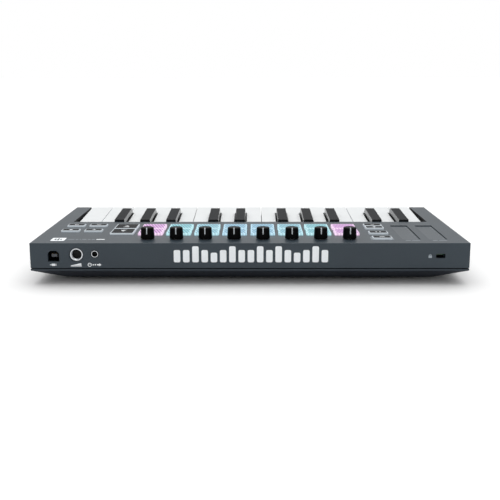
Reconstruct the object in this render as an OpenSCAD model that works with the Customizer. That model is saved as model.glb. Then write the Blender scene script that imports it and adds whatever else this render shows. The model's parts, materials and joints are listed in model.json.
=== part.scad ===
// Compact 25-note keyboard controller with mini keys, drum pads, knobs and buttons.
// Millimetres. The origin is the centre of the footprint, on the table that the feet stand on.
// +X is the player's right, +Y points to the rear panel and +Z is up.

/* [Case] */
// Width of the upper shell
case_w = 330; // [328:1:336]
// Depth of the upper shell, front to rear
case_d = 172; // [172:1:176]
// Height of the control panel above the table
panel_z = 32; // [32:0.1:32.5]
// Wall thickness of the shells
wall = 2.5; // [2.2:0.1:2.8]
// Height of the parting line between the shells
seam_z = 12; // [11.8:0.1:12.2]
// Width of the shadow gap at the parting line
seam_gap = 0.9; // [0.5:0.1:1.2]
// How far the lower shell's base is set in at each end
base_inset_x = 24; // [18:0.5:24]
// How far the lower shell's base is set in at the rear
base_inset_rear = 15; // [10:0.5:15]
// How far the lower shell's base is set in at the front
base_inset_front = 8; // [4:0.5:8]
// Height that the feet hold the lower shell above the table
foot_h = 2.5; // [2:0.1:2.6]
// Corner radius of the case, seen from above
corner_r = 1; // [1:0.5:4]
// Radius along the panel's outer edges
edge_r = 0.8; // [0.4:0.1:1.5]

/* [Keys] */
// Number of white keys
whites = 15; // [15]
// Spacing of the white keys
white_pitch = 20; // [20]
// Gap between neighbouring white keys
key_gap = 0.6; // [0.4:0.1:0.8]
// Gap between the end keys and the case
end_gap = 2; // [1.3:0.1:2]
// Depth of the keybed window, from the front of the case to the fall line
keybed_d = 80.4; // [80:0.1:81]
// Height of the white keys' tops at the fall line
key_rear_z = 28.4; // [28:0.1:28.4]
// Height of the white keys' tops at their front edge
key_front_z = 32.4; // [32:0.1:33]
// Width of a black key at its base
black_w = 8.8; // [8.4:0.1:9]
// Width of a black key across its top
black_top_w = 8.2; // [7:0.1:8.4]
// Height of the black keys above the white ones
black_h = 5.5; // [5:0.1:6]
// Length of a black key in front of the fall line, along its base
black_len = 52; // [50:0.5:53]
// How far a key turns when it is pressed, in degrees
key_dip = 3.4; // [3.4]

/* [Pads] */
// Side of one square pad
pad_w = 19.1; // [18.8:0.1:19.7]
// Spacing of the pad columns and of the knobs
column_pitch = 22.1; // [22:0.1:22.2]
// How far the pads and knobs stand to the right of the middle
column_shift = 1; // [0:0.1:1]
// Spacing of the two pad rows
pad_row_pitch = 21.9; // [21.8:0.1:22]
// Height of the pads above the panel
pad_h = 1.8; // [1:0.1:2.2]

/* [Knobs] */
// Knob diameter at the base
knob_d = 10.6; // [10:0.1:10.8]
// Knob diameter at the top
knob_top_d = 9.9; // [9.5:0.1:10]
// Height of a knob's top above the panel
knob_h = 9.1; // [8.5:0.1:10]
// Diameter of a knob's shaft
shaft_d = 6; // [6]

/* [Buttons] */
// Height of the buttons above the panel
button_h = 1.3; // [1.2:0.1:1.5]
// How far a button travels
button_travel = 0.8; // [0.8]

/* [Hidden] */
$fn = 48;
RIGHT = case_w / 2;
REAR = case_d / 2;
FRONT = -case_d / 2;
FALL = FRONT + keybed_d;
KEYBED = whites * white_pitch / 2 + 1;
SHELL_Z = seam_z + seam_gap;
UNDER_PANEL = panel_z - wall;
RAIL_IN = FRONT + 2;
RAIL_Z = 24;
FLOOR_Z = foot_h + wall;

// Keys
KEY_FRONT = FRONT + 2.7;
KEY_SLOPE = (key_front_z - key_rear_z) / (FALL - KEY_FRONT);
KEY_BOTTOM = 18.5;
HINGE_Y = FALL + 12;
HINGE_Z = 23;
ROD_R = 1.5;
HUB_R = 3.4;
RUNNING = 0.05;
WHITE_SKIN = 1.8;
NOTCH = black_w / 2 + 1.2;
BLACK_FRONT = FALL - black_len;
CONTACT_Y = [FALL - 24.4, FALL - 12.4];
PLUNGER_Z = 18.2;
SHARP_SHIFT = [-1.4, 1.6, 0, -2.2, 0, 2, 0];
LETTERS = ["c", "d", "e", "f", "g", "a", "b"];

// Inside
CHASSIS_Z = 8;
CHASSIS_TOP = 10;
KEY_PCB_TOP = CHASSIS_TOP + 1.6;
BOARD_Z = 22;
BOARD_TOP = BOARD_Z + 1.6;
SOCKET_PCB_TOP = 16.4;
REAR_SCREWS = [[-133.6, 64], [0, 64], [100, 64]];
FRONT_SCREWS = [[-90, -60], [0, -60], [90, -60]];
FEET = [[-118, 54], [118, 54], [-118, -62], [118, -62]];
FOOT_R = 7;

// Controls
PAD_ROWS_Y = 35.2;
KNOB_Y = 69.1;
KNOB_GAP = 0.5;
BUSH_R = 3.5;
HOLE_CLEAR = 0.3;
// Each button: centre x, centre y, width, depth
BUTTONS = [
    [125.5, 15.4, 14.5, 8.6],
    [143.8, 15.4, 14.5, 8.6],
    [125.5, 38.1, 14.5, 8.6],
    [143.8, 38.1, 14.5, 8.6],
    [101, 22.0, 18.6, 20],
    [101, 43.3, 18.6, 20],
    [-101.4, 15.2, 15, 9.3],
    [-101.4, 25.8, 15, 9.3],
    [-101.4, 47.6, 15, 9.3],
    [-101.4, 68.0, 15, 9.3]
];
STRIPS_X = [-123.4, -143.8];
STRIP_SIZE = [14, 59.5];
STRIP_Y = 42.3;
STRIP_DEPTH = 1;

// Rear panel
USB = [147.2, 22];
USB_MOUTH = [8.6, 8.2];
BIG_JACK = [130, 23.1];
BIG_JACK_R = 3.3;
BIG_RING_R = 4.9;
SMALL_JACK = [116.2, 23.65];
SMALL_JACK_R = 1.8;
SMALL_RING_R = 3;
LOCK = [-142.9, 22.1];
LOCK_SIZE = [7, 3.4];

WHITE_NODES = [for (i = [0 : whites - 1]) str("key_", note(i))];
BLACK_NODES = [for (i = [0 : whites - 2]) if (has_sharp(i)) str("key_", note(i), "_sharp")];
BLACK_INDEX = [for (i = [0 : whites - 2]) if (has_sharp(i)) i];
KNOB_NODES = [for (k = [1 : 8]) str("knob_", k)];
BUTTON_NODES = [
    "button_right_1", "button_right_2", "button_right_3", "button_right_4",
    "button_down", "button_up",
    "button_left_1", "button_left_2", "button_left_3", "button_left_4"
];

// Note helpers: white key i counts from the player's left
function note(i) = str(LETTERS[i % 7], 3 + floor(i / 7));
function has_sharp(i) = i % 7 != 2 && i % 7 != 6;
function white_left(i) = (i - whites / 2) * white_pitch;
function sharp_x(i) = white_left(i + 1) + SHARP_SHIFT[i % 7];
function left_side(i) = i == 0 ? end_gap - KEYBED : white_left(i) + key_gap / 2;
function right_side(i) = i == whites - 1 ? KEYBED - end_gap : white_left(i + 1) - key_gap / 2;
function rear_left(i) = i > 0 && has_sharp(i - 1) ? sharp_x(i - 1) + NOTCH : left_side(i);
function rear_right(i) = i < whites - 1 && has_sharp(i) ? sharp_x(i) - NOTCH : right_side(i);
function tail_x(i) = (rear_left(i) + rear_right(i)) / 2;
function key_top(y) = key_rear_z + (FALL - y) * KEY_SLOPE;
function column_x(k) = (k - 4.5) * column_pitch + column_shift;

// A rectangle with round corners, centred
module round_rect(w, d, r) {
    square([w - 2 * r, d], center = true);
    square([w, d - 2 * r], center = true);
    for (x = [-1, 1], y = [-1, 1])
        translate([x * (w / 2 - r), y * (d / 2 - r)]) circle(r);
}

// Stands a (y, z) outline up and runs it along X
module along_x(w) {
    rotate([90, 0, 90]) linear_extrude(w, center = true) children();
}

// Stands an (x, z) outline up and runs it along Y
module along_y(d) {
    rotate([90, 0, 0]) linear_extrude(d, center = true) children();
}

// A box given by its two corners
module span(low, high) {
    translate(low) cube(high - low);
}

// An upright outline whose two top corners are rounded by r
module crowned(w, low, high, r) {
    translate([-w / 2, low]) square([w, high - low - r]);
    translate([-w / 2 + r, high - r - 1]) square([w - 2 * r, r + 1]);
    for (s = [-1, 1]) translate([s * (w / 2 - r), high - r]) circle(r);
}

// The slanted frame of the key tops: origin at the fall line, on the white keys
module on_keys() {
    translate([0, FALL, key_rear_z]) rotate([-atan(KEY_SLOPE), 0, 0]) children();
}

module upper_blank() {
    intersection() {
        translate([0, 0, SHELL_Z])
            linear_extrude(panel_z - SHELL_Z) round_rect(case_w, case_d, corner_r);
        along_x(case_w + 2) crowned(case_d, SHELL_Z - 1, panel_z, edge_r);
        along_y(case_d + 2) crowned(case_w, SHELL_Z - 1, panel_z, edge_r);
    }
}

module pad_grid() {
    for (k = [1 : 8], row = [-0.5, 0.5])
        translate([column_x(k), PAD_ROWS_Y + row * pad_row_pitch]) children();
}

module rear_hole(at, r, depth) {
    translate([at[0], REAR + 0.1, at[1]]) rotate([90, 0, 0]) cylinder(r = r, h = depth + 0.1);
}

module usb_outline(grow) {
    w = USB_MOUTH[0] / 2 + grow;
    h = USB_MOUTH[1] / 2 + grow;
    cut = 2;
    translate(USB)
        polygon([[-w, -h], [w, -h], [w, h - cut], [w - cut, h], [cut - w, h], [-w, h - cut]]);
}

module top_case() {
    color("#5c6064") {
        difference() {
            upper_blank();
            // Room under the panel, open to the keys at the front
            span([-RIGHT + wall, FALL - 1, seam_z], [RIGHT - wall, REAR - wall, UNDER_PANEL]);
            // Hollow end cheeks
            for (s = [-1, 1])
                translate([s * (RIGHT + KEYBED) / 2, (FRONT + FALL) / 2 + 1, (seam_z + UNDER_PANEL) / 2])
                    cube([RIGHT - KEYBED - 2 * wall, keybed_d - 2 * wall + 2, UNDER_PANEL - seam_z],
                         center = true);
            // Keybed window and the top of the front rail
            span([-KEYBED, RAIL_IN, seam_z], [KEYBED, FALL, panel_z + 1]);
            span([-KEYBED, FRONT - 1, RAIL_Z], [KEYBED, FALL, panel_z + 1]);
            control_holes();
            // Rear sockets
            translate([0, REAR, 0]) along_y(3 * wall) usb_outline(0);
            rear_hole(BIG_JACK, BIG_RING_R + 0.1, 2 * wall);
            rear_hole(BIG_JACK, BIG_RING_R + 0.8, 0.8);
            rear_hole(SMALL_JACK, SMALL_RING_R + 0.1, 2 * wall);
            lock_slot();
        }
        // Lip over the rear of the keys
        span([-KEYBED, FALL, key_rear_z + 0.6], [KEYBED, FALL + 1.5, UNDER_PANEL + 0.1]);
        // Screw bosses under the panel
        for (p = REAR_SCREWS)
            translate([p[0], p[1], 14]) difference() {
                cylinder(r = 3.4, h = UNDER_PANEL - 14 + 0.1);
                translate([0, 0, -0.1]) cylinder(r = 1.5, h = 8);
            }
        // Thickened wall round the lock slot
        difference() {
            span([LOCK[0] - 6, REAR - wall - 3, LOCK[1] - 4], [LOCK[0] + 6, REAR - wall + 0.1, LOCK[1] + 4]);
            lock_slot();
        }
    }
}

module control_holes() {
    translate([0, 0, UNDER_PANEL - 1]) linear_extrude(wall + 2) {
        pad_grid() round_rect(pad_w + 2 * HOLE_CLEAR, pad_w + 2 * HOLE_CLEAR, 1.2);
        for (b = BUTTONS)
            translate([b[0], b[1]])
                round_rect(b[2] + 2 * HOLE_CLEAR, b[3] + 2 * HOLE_CLEAR, 1);
        for (k = [1 : 8]) translate([column_x(k), KNOB_Y]) circle(BUSH_R + 0.4);
    }
    for (x = STRIPS_X)
        translate([x, STRIP_Y, panel_z - STRIP_DEPTH])
            linear_extrude(2) round_rect(STRIP_SIZE[0], STRIP_SIZE[1], 1);
}

module lock_slot() {
    translate([LOCK[0], REAR - wall, LOCK[1]])
        rotate([90, 0, 0]) linear_extrude(12, center = true)
            round_rect(LOCK_SIZE[0], LOCK_SIZE[1], 0.8);
}

// Lower shell outline across the case, in x and z
module base_section_x(inset, skin, low, high) {
    top = RIGHT - skin;
    bottom = RIGHT - inset;
    polygon([[-top, high], [-top, high - 1], [-bottom, low], [bottom, low], [top, high - 1], [top, high]]);
}

// Lower shell outline from front to rear, in y and z
module base_section_y(front, rear, skin, low, high) {
    polygon([
        [FRONT + skin, high], [FRONT + skin, high - 1], [FRONT + front, low],
        [REAR - rear, low], [REAR - skin, high - 1], [REAR - skin, high]
    ]);
}

module bottom_case() {
    color("#4a4f55") {
        difference() {
            union() {
                difference() {
                    intersection() {
                        along_y(case_d) base_section_x(base_inset_x, 0, foot_h, seam_z);
                        along_x(case_w)
                            base_section_y(base_inset_front, base_inset_rear, 0, foot_h, seam_z);
                        linear_extrude(seam_z) round_rect(case_w, case_d, corner_r);
                    }
                    intersection() {
                        along_y(case_d)
                            base_section_x(base_inset_x - 0.9, wall, FLOOR_Z, seam_z + 1);
                        along_x(case_w)
                            base_section_y(base_inset_front + 0.5, base_inset_rear - 0.2, wall,
                                           FLOOR_Z, seam_z + 1);
                    }
                }
                // Posts for the rear screws and for the key chassis
                for (p = REAR_SCREWS) translate([p[0], p[1], foot_h]) cylinder(r = 5, h = 13.8 - foot_h);
                for (p = FRONT_SCREWS)
                    translate([p[0], p[1], foot_h]) cylinder(r = 5, h = CHASSIS_Z - foot_h);
            }
            for (p = concat(REAR_SCREWS, FRONT_SCREWS)) translate([p[0], p[1], 0]) {
                cylinder(r = 3.2, h = foot_h + 3.5);
                cylinder(r = 1.7, h = 20);
            }
            for (p = FEET) translate([p[0], p[1], 0]) cylinder(r = FOOT_R + 0.1, h = foot_h + 1.1);
        }
        // Tongue that closes the parting line from inside
        for (s = [-1, 1])
            translate([s * (RIGHT - wall - 0.9), 0, 0])
                span([-0.65, FRONT + 2.8, seam_z - 0.6], [0.65, REAR - 2.8, seam_z + 2.4]);
        span([-RIGHT + 3.3, REAR - wall - 1.5, seam_z - 0.6],
             [RIGHT - 3.3, REAR - wall - 0.3, seam_z + 2.4]);
    }
}

module feet() {
    color("#202225")
        for (p = FEET) translate([p[0], p[1], 0]) {
            cylinder(r = FOOT_R - 0.5, h = 1);
            translate([0, 0, 0.5]) cylinder(r = FOOT_R, h = foot_h + 0.5);
        }
}

module screws() {
    color("#b8bcc0")
        for (p = concat(REAR_SCREWS, FRONT_SCREWS)) translate([p[0], p[1], foot_h + 1.6]) difference() {
            union() {
                cylinder(r = 2.8, h = 1.8);
                cylinder(r = 1.4, h = p[1] > 0 ? 14 : 8.6);
            }
            for (a = [0, 90]) rotate(a) cube([3, 0.7, 2], center = true);
        }
}

// X of every bracket that holds the hinge rod: both ends and each pair of white keys with no sharp between
BRACKETS = concat(
    [-KEYBED + 1.9],
    [for (i = [0 : whites - 2]) if (!has_sharp(i)) white_left(i + 1)],
    [KEYBED - 1.9]
);

module key_chassis() {
    front = FRONT + 6.5;
    color("#2b2d30") difference() {
        union() {
            span([-KEYBED + 2, front, CHASSIS_Z], [KEYBED - 2, HINGE_Y + 5, CHASSIS_TOP]);
            // Landing ribs for the white and the black keys
            span([-KEYBED + 4, front + 0.5, CHASSIS_TOP - 0.5], [KEYBED - 4, front + 5.5, 11.5]);
            span([-KEYBED + 4, -54, CHASSIS_TOP - 0.5], [KEYBED - 4, -49, 13.3]);
            // A guide post inside every white key
            for (i = [0 : whites - 1])
                translate([white_left(i + 0.5), -70, (CHASSIS_TOP + RAIL_Z) / 2 - 0.25])
                    cube([white_pitch - key_gap - 5.4, 5, RAIL_Z - CHASSIS_TOP + 0.5], center = true);
            for (x = BRACKETS)
                span([x - 0.9, HINGE_Y - 4, CHASSIS_TOP - 0.5],
                     [x + 0.9, HINGE_Y + 4, HINGE_Z + HUB_R]);
            for (p = FRONT_SCREWS) translate([p[0], p[1], CHASSIS_Z]) cylinder(r = 3.5, h = 5.4);
        }
        for (p = FRONT_SCREWS) translate([p[0], p[1], CHASSIS_Z - 0.1]) cylinder(r = 1.5, h = 5);
        translate([0, HINGE_Y, HINGE_Z]) rotate([0, 90, 0])
            cylinder(r = ROD_R + 0.02, h = case_w, center = true);
    }
}

module hinge_rod() {
    color("#c9ccd0") translate([0, HINGE_Y, HINGE_Z]) rotate([0, 90, 0])
        cylinder(r = ROD_R, h = 2 * KEYBED - 1.6, center = true);
}

module key_felt() {
    color("#a33b3b") {
        span([-KEYBED + 4, FRONT + 7.2, 11.5], [KEYBED - 4, FRONT + 11.8, 12.9]);
        span([-KEYBED + 4, -53.8, 13.3], [KEYBED - 4, -49.2, 14.6]);
    }
}

module key_pcb() {
    color("#2f6b46")
        span([-KEYBED + 5, CONTACT_Y[0] - 4, CHASSIS_TOP], [KEYBED - 5, CONTACT_Y[1] + 4, KEY_PCB_TOP]);
}

module contact_mat() {
    color("#d9d9d2") {
        span([-KEYBED + 7, CONTACT_Y[0] - 1, KEY_PCB_TOP],
             [KEYBED - 7, CONTACT_Y[1] + 1, KEY_PCB_TOP + 0.8]);
        for (x = concat([for (i = [0 : whites - 1]) tail_x(i)], [for (i = BLACK_INDEX) sharp_x(i)]))
            for (y = [CONTACT_Y[0] + 2.5, CONTACT_Y[1] - 2.5])
                translate([x, y, KEY_PCB_TOP + 0.7]) cylinder(r1 = 2.6, r2 = 1.4, h = 3.2);
    }
}

// The part of a key that reaches back under the panel and turns on the rod
module key_tail(x, w) {
    translate([x, 0, 0]) {
        along_x(w) polygon([
            [FALL - 4, KEY_BOTTOM + 0.5], [FALL - 4, key_rear_z - 0.4], [HINGE_Y - 3.5, key_rear_z - 0.9],
            [HINGE_Y, HINGE_Z + HUB_R], [HINGE_Y, HINGE_Z - HUB_R]
        ]);
        translate([0, HINGE_Y, HINGE_Z]) rotate([0, 90, 0]) cylinder(r = HUB_R, h = w, center = true);
    }
}

module hinge_bore(x) {
    translate([x, HINGE_Y, HINGE_Z]) rotate([0, 90, 0])
        cylinder(r = ROD_R + RUNNING, h = white_pitch, center = true);
}

// A (y, z) outline under the key top, from front to rear, lowered by skin
module under_top(front, rear, low, skin) {
    polygon([[front, low], [front, key_top(front) - skin], [rear, key_top(rear) - skin], [rear, low]]);
}

module white_key(i) {
    left = left_side(i);
    right = right_side(i);
    notch_y = BLACK_FRONT - 1;
    side = 1.5;
    color("#f2f2ef") difference() {
        union() {
            difference() {
                // The two widths, cut to the sloping top
                intersection() {
                    along_x(case_w) under_top(KEY_FRONT, FALL + 3, KEY_BOTTOM, 0);
                    union() {
                        span([left, KEY_FRONT, 0], [right, notch_y, 40]);
                        span([rear_left(i), notch_y - 1, 0], [rear_right(i), FALL + 3, 40]);
                    }
                }
                // Hollow underside
                intersection() {
                    along_x(case_w) under_top(KEY_FRONT + WHITE_SKIN, FALL - 3, 0, WHITE_SKIN);
                    union() {
                        span([left + side, KEY_FRONT, 0], [right - side, notch_y - side, 40]);
                        span([rear_left(i) + side, notch_y - 5, 0], [rear_right(i) - side, FALL, 40]);
                    }
                }
            }
            span([tail_x(i) - 1.5, CONTACT_Y[0], PLUNGER_Z],
                 [tail_x(i) + 1.5, CONTACT_Y[1], key_rear_z - 0.5]);
            key_tail(tail_x(i), 9);
        }
        hinge_bore(tail_x(i));
    }
}

module black_key(i) {
    x = sharp_x(i);
    slant = 4.8;
    edge = 0.6;
    skin = 1.5;
    color("#1c1d1f") difference() {
        union() {
            difference() {
                union() {
                    // Cap, parallel to the white keys' tops
                    translate([x, 0, 0]) on_keys() intersection() {
                        along_x(black_w + 1) polygon([
                            [-black_len, -4], [-black_len, edge], [slant - black_len, black_h],
                            [-1, black_h], [-1, -4]
                        ]);
                        translate([0, -black_len / 2, 0]) along_y(black_len + 2) polygon([
                            [-black_w / 2, -4], [-black_w / 2, edge], [-black_top_w / 2, black_h],
                            [black_top_w / 2, black_h], [black_w / 2, edge], [black_w / 2, -4]
                        ]);
                    }
                    // Body between the white keys
                    translate([x, 0, 0]) along_x(black_w - 0.4)
                        under_top(BLACK_FRONT + 0.4, FALL + 1, KEY_BOTTOM, 1);
                }
                span([x - black_w / 2 + skin, BLACK_FRONT + 2, 0], [x + black_w / 2 - skin, FALL - 6, 31]);
            }
            span([x - 1.5, CONTACT_Y[0], PLUNGER_Z], [x + 1.5, CONTACT_Y[1], 31.5]);
            key_tail(x, 7);
        }
        hinge_bore(x);
    }
}

module main_pcb() {
    color("#2f6b46") difference() {
        union() {
            span([-150, HINGE_Y + 7.6, BOARD_Z], [156, 54, BOARD_TOP]);
            span([-150, 50, BOARD_Z], [108, REAR - 5, BOARD_TOP]);
        }
        for (p = REAR_SCREWS) translate([p[0], p[1], 0]) cylinder(r = 4, h = 40);
    }
}

module socket_pcb() {
    color("#2f6b46") span([110, 56, SOCKET_PCB_TOP - 1.6], [156, REAR - 5, SOCKET_PCB_TOP]);
}

module pots() {
    color("#3a4a5a") for (k = [1 : 8]) translate([column_x(k), KNOB_Y, 0]) difference() {
        union() {
            span([-5, -5.5, BOARD_TOP], [5, 5.5, 28]);
            cylinder(r = BUSH_R, h = panel_z - 0.5);
        }
        translate([0, 0, BOARD_TOP + 1.1]) cylinder(r = shaft_d / 2 + RUNNING, h = 20);
        span([-6, -6, -1], [6, 6, BOARD_TOP]);
    }
}

module knob(k) {
    bore_top = panel_z + 6;
    color("#191a1c") translate([column_x(k), KNOB_Y, 0]) {
        difference() {
            translate([0, 0, panel_z + KNOB_GAP])
                cylinder(d1 = knob_d, d2 = knob_top_d, h = knob_h - KNOB_GAP);
            cylinder(r = shaft_d / 2 + 0.02, h = bore_top + 0.1);
        }
        translate([0, 0, BOARD_TOP + 1.5]) cylinder(d = shaft_d, h = bore_top - BOARD_TOP - 1.5);
    }
}

module pad_mat() {
    reach = pad_w / 2 + 2;
    color("#c9e6f2") {
        span([column_x(1) - reach + 0.5, PAD_ROWS_Y - pad_row_pitch / 2 - reach, UNDER_PANEL - 1.3],
             [column_x(8) + reach - 0.5, PAD_ROWS_Y + pad_row_pitch / 2 + reach, UNDER_PANEL - 0.1]);
        translate([0, 0, UNDER_PANEL - 0.3])
            linear_extrude(panel_z + pad_h - UNDER_PANEL + 0.3) pad_grid() round_rect(pad_w, pad_w, 1);
    }
}

module touch_strips() {
    color("#26282b") for (x = STRIPS_X)
        translate([x, STRIP_Y, panel_z - STRIP_DEPTH])
            linear_extrude(0.3) round_rect(STRIP_SIZE[0] - 0.4, STRIP_SIZE[1] - 0.4, 0.8);
}

module button(b) {
    color("#c4c8cb") translate([b[0], b[1], 0]) {
        translate([0, 0, UNDER_PANEL - 0.4])
            linear_extrude(panel_z + button_h - UNDER_PANEL + 0.4) round_rect(b[2], b[3], 0.8);
        // Flange that keeps the button under the panel, and the stem that presses its switch
        span([-b[2] / 2 - 1, -b[3] / 2, UNDER_PANEL - 0.9], [b[2] / 2 + 1, b[3] / 2, UNDER_PANEL - 0.3]);
        span([-1.5, -1.5, BOARD_TOP + 1.3], [1.5, 1.5, UNDER_PANEL - 0.5]);
    }
}

module usb_socket() {
    back = REAR - 18;
    front = REAR - wall - 0.1;
    color("#b9bdc1") {
        difference() {
            span([USB[0] - 6, back, SOCKET_PCB_TOP + 0.1], [USB[0] + 6, front, USB[1] + 5.5]);
            translate([0, front - 6, 0]) along_y(14) usb_outline(0.05);
        }
        // Contact block
        span([USB[0] - 2.8, back + 0.5, USB[1] - 1.6], [USB[0] + 2.8, REAR - 5.4, USB[1] + 1.6]);
    }
}

// A panel jack: body on the board, ring through the rear wall, and the bore for the plug
module panel_jack(at, body_w, body_top, ring_r, bore_r, back, ring_out) {
    difference() {
        union() {
            span([at[0] - body_w / 2, back, SOCKET_PCB_TOP + 0.1],
                 [at[0] + body_w / 2, REAR - wall - 0.2, body_top]);
            translate([at[0], REAR - ring_out, at[1]]) rotate([90, 0, 0])
                cylinder(r = ring_r, h = wall + 3);
        }
        translate([at[0], REAR + 1, at[1]]) rotate([90, 0, 0])
            cylinder(r = bore_r, h = REAR - back - 0.5);
    }
}

module sustain_jack() {
    color("#a9adb2") panel_jack(BIG_JACK, 14.6, 29.3, BIG_RING_R, BIG_JACK_R, 58, 0.4);
}

module midi_jack() {
    color("#2a2c2f") panel_jack(SMALL_JACK, 8, 27.6, SMALL_RING_R, SMALL_JACK_R, 68, 0.1);
}

top_case();
bottom_case();
feet();
screws();
key_chassis();
hinge_rod();
key_felt();
key_pcb();
contact_mat();
main_pcb();
socket_pcb();
pots();
pad_mat();
touch_strips();
usb_socket();
sustain_jack();
midi_jack();
for (i = [0 : whites - 1])
    white_key(i);
for (n = [0 : len(BLACK_INDEX) - 1])
    black_key(BLACK_INDEX[n]);
for (k = [1 : 8])
    knob(k);
for (n = [0 : len(BUTTONS) - 1])
    button(BUTTONS[n]);
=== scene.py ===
"""Looks for the compact mini-key controller: its shells, keys, knobs, pads and prints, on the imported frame.

All places and sizes are in metres in the frame's own axes: +X the player's right, +Y the rear panel, +Z up.
"""

import json
import math

import bmesh
import bpy
from mathutils import Matrix, Vector


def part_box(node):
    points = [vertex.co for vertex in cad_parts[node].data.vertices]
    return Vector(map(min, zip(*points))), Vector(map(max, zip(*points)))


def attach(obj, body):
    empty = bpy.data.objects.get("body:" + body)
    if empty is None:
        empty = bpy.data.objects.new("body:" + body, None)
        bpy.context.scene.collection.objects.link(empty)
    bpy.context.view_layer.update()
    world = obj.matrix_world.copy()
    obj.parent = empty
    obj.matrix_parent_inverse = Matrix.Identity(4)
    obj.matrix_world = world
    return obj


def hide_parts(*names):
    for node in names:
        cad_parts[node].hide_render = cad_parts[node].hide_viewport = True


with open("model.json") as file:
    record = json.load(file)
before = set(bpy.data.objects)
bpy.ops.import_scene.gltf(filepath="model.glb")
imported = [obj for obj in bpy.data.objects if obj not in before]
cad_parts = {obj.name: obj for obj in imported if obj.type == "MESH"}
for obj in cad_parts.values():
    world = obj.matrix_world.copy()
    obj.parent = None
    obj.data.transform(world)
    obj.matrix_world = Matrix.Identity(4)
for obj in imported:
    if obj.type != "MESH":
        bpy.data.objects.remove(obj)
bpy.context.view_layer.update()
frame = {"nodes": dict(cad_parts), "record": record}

MM = 0.001
NEAR = 0.01 * MM     # a point this close to a plane lies on it
CASE_LOW, CASE_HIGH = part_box("top_case")
PANEL_Z = CASE_HIGH.z
REAR_Y = CASE_HIGH.y
PRINT_THICK = 0.03 * MM
PRINT_SUNK = 0.01 * MM
# The walls of the key window lie nearer the middle than this side, and in front of this rear
KEYBED_SIDE = (CASE_HIGH.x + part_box("key_c5")[1].x) / 2
KEYBED_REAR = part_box("pad_mat")[0].y
# Middles of the rear openings, as (x, z)
USB_MOUTH = (147.2 * MM, 22 * MM)
SUSTAIN_BORE = (130.0 * MM, 23.1 * MM)
MIDI_BORE = (116.2 * MM, 23.65 * MM)

WHITE_KEYS = sorted(n for n in frame["nodes"] if n.startswith("key_") and n[4] in "cdefgab"
                    and n[5:6].isdigit() and not n.endswith("sharp"))
BLACK_KEYS = sorted(n for n in frame["nodes"] if n.endswith("_sharp"))
KNOBS = [f"knob_{k}" for k in range(1, 9)]
BUTTONS = sorted(n for n in frame["nodes"] if n.startswith("button_"))


def body_of_node(node):
    """The frame body that a node belongs to."""
    return next(b for b, nodes in frame["record"]["behaviour"]["bodies"].items() if node in nodes)


def centre(node):
    """The middle of a node's box."""
    low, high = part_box(node)
    return (low + high) / 2


# ---------------------------------------------------------------- materials

FLOW_MARK_MM = 40       # how far the tone of a moulding drifts over
KEY_FLOW_MARK_MM = 25   # the same for a white key, which is smaller
GLOSS_SPREAD = 0.05     # how much the grain moves the roughness, either way
RIB_PITCH_MM = 2.3      # coarser than the real ribs may be, so that they show
RIB_LEAN_DEG = -16
PRINT_SPOT_MM = 0.6     # thin spots of a print
FELT_FIBRE_MM = 0.5     # a real fibre is much finer and wouldn't show
TRACK_PITCH_MM = 6


def linear(hex_colour):
    """An sRGB hex colour as the linear RGBA that shader sockets take."""
    channels = [int(hex_colour[i:i + 2], 16) / 255 for i in (1, 3, 5)]
    return tuple(c / 12.92 if c <= 0.04045 else ((c + 0.055) / 1.055) ** 2.4 for c in channels) + (1.0,)


def per(size_mm):
    """Texture scale for a pattern that repeats every size_mm."""
    return 1000.0 / size_mm


def add(tree, kind, links=(), values=(), stops=None, **settings):
    """Adds one shader node with its settings, its socket values and what feeds its sockets."""
    node = tree.nodes.new(kind)
    for name, value in settings.items():
        setattr(node, name, value)
    for socket, value in dict(values).items():
        node.inputs[socket].default_value = value
    for socket, source in dict(links).items():
        tree.links.new(source, node.inputs[socket])
    if stops:
        ramp = node.color_ramp.elements
        while len(ramp) < len(stops):
            ramp.new(0.5)
        for element, (position, colour) in zip(ramp, stops):
            element.position, element.color = position, colour
    return node


def blank(name):
    """A new material: returns it, its node tree, its place in the object's own metres, and its shader."""
    made = bpy.data.materials.new(name)
    made.use_nodes = True
    tree = made.node_tree
    tree.nodes.clear()
    place = add(tree, "ShaderNodeTexCoord").outputs["Object"]
    shader = add(tree, "ShaderNodeBsdfPrincipled")
    add(tree, "ShaderNodeOutputMaterial", {"Surface": shader.outputs["BSDF"]})
    return made, tree, place, shader


def moulded(name, colour, shade, roughness, grain_mm, grain_depth_mm, ior=1.54, shine=0.5):
    """Injection-moulded plastic or rubber: a tone that drifts slowly, and a fine grain in the gloss."""
    made, tree, place, shader = blank(name)
    cloud = add(tree, "ShaderNodeTexNoise", {"Vector": place}, {"Scale": per(FLOW_MARK_MM), "Detail": 2.0})
    tone = add(tree, "ShaderNodeValToRGB", {"Fac": cloud.outputs["Fac"]},
               stops=[(0.3, linear(colour)), (0.7, linear(shade))])
    grain = add(tree, "ShaderNodeTexNoise", {"Vector": place}, {"Scale": per(grain_mm), "Detail": 3.0})
    gloss = add(tree, "ShaderNodeMapRange", {"Value": grain.outputs["Fac"]},
                {"From Min": 0.3, "From Max": 0.7,
                 "To Min": roughness - GLOSS_SPREAD, "To Max": roughness + GLOSS_SPREAD})
    bump = add(tree, "ShaderNodeBump", {"Height": grain.outputs["Fac"]},
               {"Strength": 0.35, "Distance": grain_depth_mm * MM})
    tree.links.new(tone.outputs["Color"], shader.inputs["Base Color"])
    tree.links.new(gloss.outputs["Result"], shader.inputs["Roughness"])
    tree.links.new(bump.outputs["Normal"], shader.inputs["Normal"])
    shader.inputs["IOR"].default_value = ior
    shader.inputs["Specular IOR Level"].default_value = shine
    return made


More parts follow.
